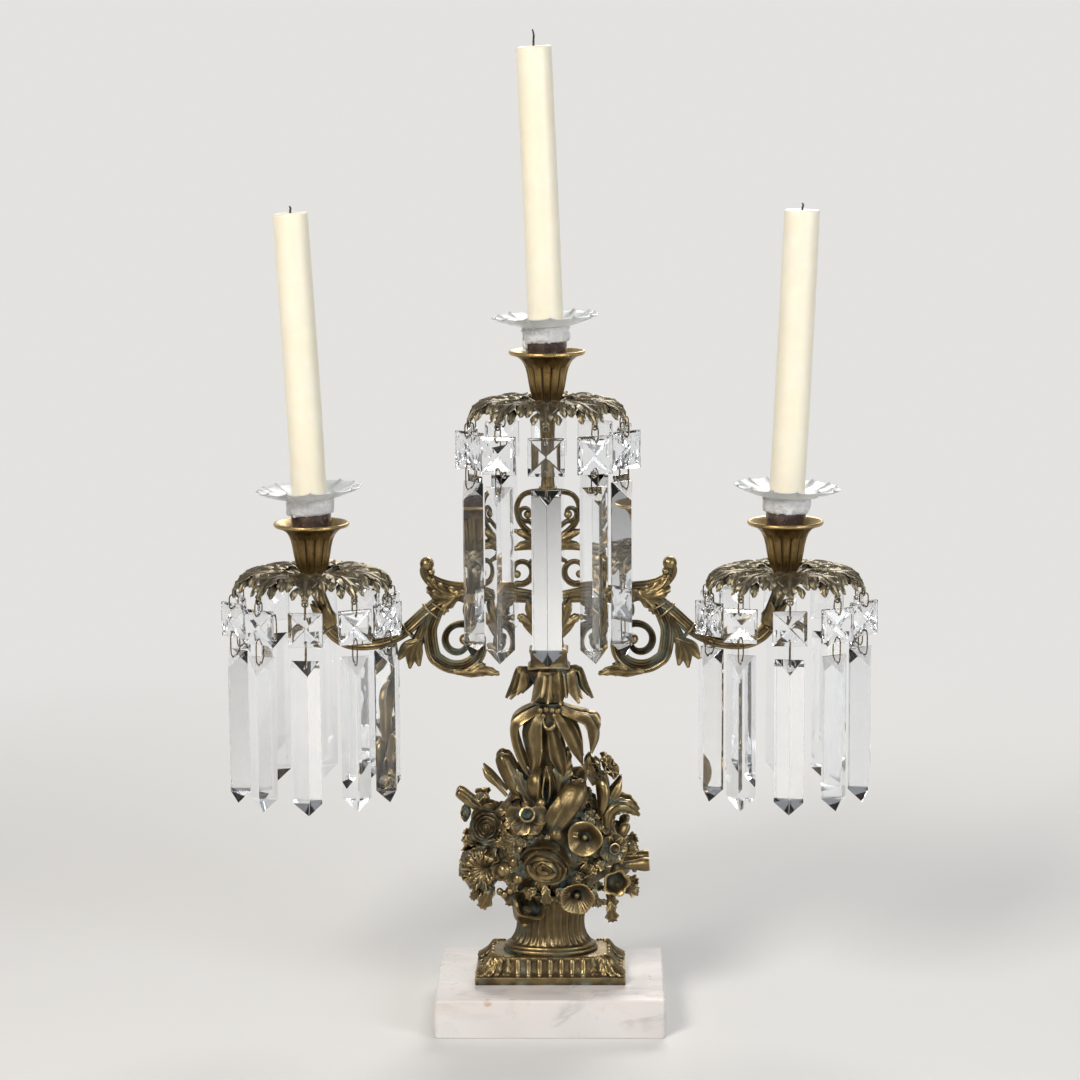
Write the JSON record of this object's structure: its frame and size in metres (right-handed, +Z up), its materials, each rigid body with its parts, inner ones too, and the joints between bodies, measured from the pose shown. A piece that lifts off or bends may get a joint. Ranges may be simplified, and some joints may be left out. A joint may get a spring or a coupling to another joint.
{
  "type": "girandole candle holder",
  "caption": "Brass girandole with a flower-basket stem, scrolled arms, leaf canopies, hanging crystal drops, glass bobeches and candles on a marble plinth.",
  "frame": {"origin": "centre of the marble plinth's underside", "axes": "+Z up, +X to the right as seen from the front along the arms, -Y towards the viewer"},
  "size_m": [0.4036, 0.114, 0.6198],
  "materials": {
    "marble": "polished white marble with soft grey veins",
    "aged_brass": "aged gilt brass, dark in its recesses, with traces of verdigris",
    "socket_brass": "warm golden-brown brass, worn on its crests",
    "canopy_brass": "dull olive-grey lacquered brass",
    "nozzle_metal": "dark purple-brown patinated metal",
    "crystal": "clear cut and polished lead crystal with brass wire links",
    "frosted_glass": "translucent frosted glass with clear pressed petal lines",
    "candle_wax": "ivory wax, warm and slightly translucent",
    "fixing_wax": "matt white hand-pressed wax",
    "iron": "dull black iron"
  },
  "bodies": {
    "root": {"marble_base": "marble", "tie_rod": "iron", "washer": "iron", "nut": "iron", "foot": "aged_brass", "basket": "aged_brass", "bouquet": "aged_brass", "leaf_spray": "aged_brass", "capital": "aged_brass", "branch": "aged_brass", "arm_left": "aged_brass", "arm_right": "aged_brass", "centre_canopy": "canopy_brass", "centre_socket": "socket_brass", "centre_nozzle": "nozzle_metal", "centre_wax_ring": "fixing_wax", "left_canopy": "canopy_brass", "left_socket": "socket_brass", "left_nozzle": "nozzle_metal", "left_wax_ring": "fixing_wax", "right_canopy": "canopy_brass", "right_socket": "socket_brass", "right_nozzle": "nozzle_metal", "right_wax_ring": "fixing_wax"},
    "centre_bobeche": {"centre_bobeche": "frosted_glass"},
    "centre_candle": {"centre_candle": "candle_wax"},
    "centre_drop_1": {"centre_drop_1": "crystal"},
    "centre_drop_2": {"centre_drop_2": "crystal"},
    "centre_drop_3": {"centre_drop_3": "crystal"},
    "centre_drop_4": {"centre_drop_4": "crystal"},
    "centre_drop_5": {"centre_drop_5": "crystal"},
    "centre_drop_6": {"centre_drop_6": "crystal"},
    "centre_drop_7": {"centre_drop_7": "crystal"},
    "centre_drop_8": {"centre_drop_8": "crystal"},
    "centre_drop_9": {"centre_drop_9": "crystal"},
    "centre_drop_10": {"centre_drop_10": "crystal"},
    "left_bobeche": {"left_bobeche": "frosted_glass"},
    "left_candle": {"left_candle": "candle_wax"},
    "left_drop_1": {"left_drop_1": "crystal"},
    "left_drop_2": {"left_drop_2": "crystal"},
    "left_drop_3": {"left_drop_3": "crystal"},
    "left_drop_4": {"left_drop_4": "crystal"},
    "left_drop_5": {"left_drop_5": "crystal"},
    "left_drop_6": {"left_drop_6": "crystal"},
    "left_drop_7": {"left_drop_7": "crystal"},
    "left_drop_8": {"left_drop_8": "crystal"},
    "left_drop_9": {"left_drop_9": "crystal"},
    "left_drop_10": {"left_drop_10": "crystal"},
    "right_bobeche": {"right_bobeche": "frosted_glass"},
    "right_candle": {"right_candle": "candle_wax"},
    "right_drop_1": {"right_drop_1": "crystal"},
    "right_drop_2": {"right_drop_2": "crystal"},
    "right_drop_3": {"right_drop_3": "crystal"},
    "right_drop_4": {"right_drop_4": "crystal"},
    "right_drop_5": {"right_drop_5": "crystal"},
    "right_drop_6": {"right_drop_6": "crystal"},
    "right_drop_7": {"right_drop_7": "crystal"},
    "right_drop_8": {"right_drop_8": "crystal"},
    "right_drop_9": {"right_drop_9": "crystal"},
    "right_drop_10": {"right_drop_10": "crystal"}
  },
  "joints": [
    {"name": "centre_candle_lift", "type": "slide", "parent": "root", "child": "centre_candle", "axis": [-0.0366, 0, 0.9993], "range_m": [0, 0.06]},
    {"name": "centre_bobeche_lift", "type": "slide", "parent": "root", "child": "centre_bobeche", "axis": [-0.0366, 0, 0.9993], "range_m": [0, 0.18]},
    {"name": "centre_drop_1_swing", "type": "hinge", "parent": "root", "child": "centre_drop_1", "pos_m": [0, -0.05035, 0.38075], "axis": [-1, 0, 0], "range_deg": [-5, 30]},
    {"name": "centre_drop_2_swing", "type": "hinge", "parent": "root", "child": "centre_drop_2", "pos_m": [0.02959, -0.04073, 0.38075], "axis": [-0.809, -0.5878, 0], "range_deg": [-5, 30]},
    {"name": "centre_drop_3_swing", "type": "hinge", "parent": "root", "child": "centre_drop_3", "pos_m": [0.04789, -0.01556, 0.38075], "axis": [-0.309, -0.9511, 0], "range_deg": [-3, 12]},
    {"name": "centre_drop_4_swing", "type": "hinge", "parent": "root", "child": "centre_drop_4", "pos_m": [0.04789, 0.01556, 0.38075], "axis": [0.309, -0.9511, 0], "range_deg": [-3, 12]},
    {"name": "centre_drop_5_swing", "type": "hinge", "parent": "root", "child": "centre_drop_5", "pos_m": [0.02959, 0.04073, 0.38075], "axis": [0.809, -0.5878, 0], "range_deg": [-5, 30]},
    {"name": "centre_drop_6_swing", "type": "hinge", "parent": "root", "child": "centre_drop_6", "pos_m": [0, 0.05035, 0.38075], "axis": [1, 0, 0], "range_deg": [-5, 30]},
    {"name": "centre_drop_7_swing", "type": "hinge", "parent": "root", "child": "centre_drop_7", "pos_m": [-0.02959, 0.04073, 0.38075], "axis": [0.809, 0.5878, 0], "range_deg": [-5, 30]},
    {"name": "centre_drop_8_swing", "type": "hinge", "parent": "root", "child": "centre_drop_8", "pos_m": [-0.04789, 0.01556, 0.38075], "axis": [0.309, 0.9511, 0], "range_deg": [-3, 12]},
    {"name": "centre_drop_9_swing", "type": "hinge", "parent": "root", "child": "centre_drop_9", "pos_m": [-0.04789, -0.01556, 0.38075], "axis": [-0.309, 0.9511, 0], "range_deg": [-3, 12]},
    {"name": "centre_drop_10_swing", "type": "hinge", "parent": "root", "child": "centre_drop_10", "pos_m": [-0.02959, -0.04073, 0.38075], "axis": [-0.809, 0.5878, 0], "range_deg": [-5, 30]},
    {"name": "left_candle_lift", "type": "slide", "parent": "root", "child": "left_candle", "axis": [-0.048, 0, 0.9988], "range_m": [0, 0.06]},
    {"name": "left_bobeche_lift", "type": "slide", "parent": "root", "child": "left_bobeche", "axis": [-0.048, 0, 0.9988], "range_m": [0, 0.18]},
    {"name": "left_drop_1_swing", "type": "hinge", "parent": "root", "child": "left_drop_1", "pos_m": [-0.148, -0.05035, 0.27375], "axis": [-1, 0, 0], "range_deg": [-5, 30]},
    {"name": "left_drop_2_swing", "type": "hinge", "parent": "root", "child": "left_drop_2", "pos_m": [-0.1776, -0.04073, 0.27375], "axis": [-0.809, 0.5878, 0], "range_deg": [-5, 30]},
    {"name": "left_drop_3_swing", "type": "hinge", "parent": "root", "child": "left_drop_3", "pos_m": [-0.19589, -0.01556, 0.27375], "axis": [-0.309, 0.9511, 0], "range_deg": [-5, 30]},
    {"name": "left_drop_4_swing", "type": "hinge", "parent": "root", "child": "left_drop_4", "pos_m": [-0.19589, 0.01556, 0.27375], "axis": [0.309, 0.9511, 0], "range_deg": [-5, 30]},
    {"name": "left_drop_5_swing", "type": "hinge", "parent": "root", "child": "left_drop_5", "pos_m": [-0.1776, 0.04073, 0.27375], "axis": [0.809, 0.5878, 0], "range_deg": [-5, 30]},
    {"name": "left_drop_6_swing", "type": "hinge", "parent": "root", "child": "left_drop_6", "pos_m": [-0.148, 0.05035, 0.27375], "axis": [1, 0, 0], "range_deg": [-5, 30]},
    {"name": "left_drop_7_swing", "type": "hinge", "parent": "root", "child": "left_drop_7", "pos_m": [-0.1184, 0.04073, 0.27375], "axis": [0.809, -0.5878, 0], "range_deg": [-5, 30]},
    {"name": "left_drop_8_swing", "type": "hinge", "parent": "root", "child": "left_drop_8", "pos_m": [-0.10011, 0.01556, 0.27375], "axis": [0.309, -0.9511, 0], "range_deg": [-3, 12]},
    {"name": "left_drop_9_swing", "type": "hinge", "parent": "root", "child": "left_drop_9", "pos_m": [-0.10011, -0.01556, 0.27375], "axis": [-0.309, -0.9511, 0], "range_deg": [-3, 12]},
    {"name": "left_drop_10_swing", "type": "hinge", "parent": "root", "child": "left_drop_10", "pos_m": [-0.1184, -0.04073, 0.27375], "axis": [-0.809, -0.5878, 0], "range_deg": [-5, 30]},
    {"name": "right_candle_lift", "type": "slide", "parent": "root", "child": "right_candle", "axis": [0.048, 0, 0.9988], "range_m": [0, 0.06]},
    {"name": "right_bobeche_lift", "type": "slide", "parent": "root", "child": "right_bobeche", "axis": [0.048, 0, 0.9988], "range_m": [0, 0.18]},
    {"name": "right_drop_1_swing", "type": "hinge", "parent": "root", "child": "right_drop_1", "pos_m": [0.148, -0.05035, 0.27375], "axis": [-1, 0, 0], "range_deg": [-5, 30]},
    {"name": "right_drop_2_swing", "type": "hinge", "parent": "root", "child": "right_drop_2", "pos_m": [0.1776, -0.04073, 0.27375], "axis": [-0.809, -0.5878, 0], "range_deg": [-5, 30]},
    {"name": "right_drop_3_swing", "type": "hinge", "parent": "root", "child": "right_drop_3", "pos_m": [0.19589, -0.01556, 0.27375], "axis": [-0.309, -0.9511, 0], "range_deg": [-5, 30]},
    {"name": "right_drop_4_swing", "type": "hinge", "parent": "root", "child": "right_drop_4", "pos_m": [0.19589, 0.01556, 0.27375], "axis": [0.309, -0.9511, 0], "range_deg": [-5, 30]},
    {"name": "right_drop_5_swing", "type": "hinge", "parent": "root", "child": "right_drop_5", "pos_m": [0.1776, 0.04073, 0.27375], "axis": [0.809, -0.5878, 0], "range_deg": [-5, 30]},
    {"name": "right_drop_6_swing", "type": "hinge", "parent": "root", "child": "right_drop_6", "pos_m": [0.148, 0.05035, 0.27375], "axis": [1, 0, 0], "range_deg": [-5, 30]},
    {"name": "right_drop_7_swing", "type": "hinge", "parent": "root", "child": "right_drop_7", "pos_m": [0.1184, 0.04073, 0.27375], "axis": [0.809, 0.5878, 0], "range_deg": [-5, 30]},
    {"name": "right_drop_8_swing", "type": "hinge", "parent": "root", "child": "right_drop_8", "pos_m": [0.10011, 0.01556, 0.27375], "axis": [0.309, 0.9511, 0], "range_deg": [-3, 12]},
    {"name": "right_drop_9_swing", "type": "hinge", "parent": "root", "child": "right_drop_9", "pos_m": [0.10011, -0.01556, 0.27375], "axis": [-0.309, 0.9511, 0], "range_deg": [-3, 12]},
    {"name": "right_drop_10_swing", "type": "hinge", "parent": "root", "child": "right_drop_10", "pos_m": [0.1184, -0.04073, 0.27375], "axis": [-0.809, 0.5878, 0], "range_deg": [-5, 30]}
  ]
}
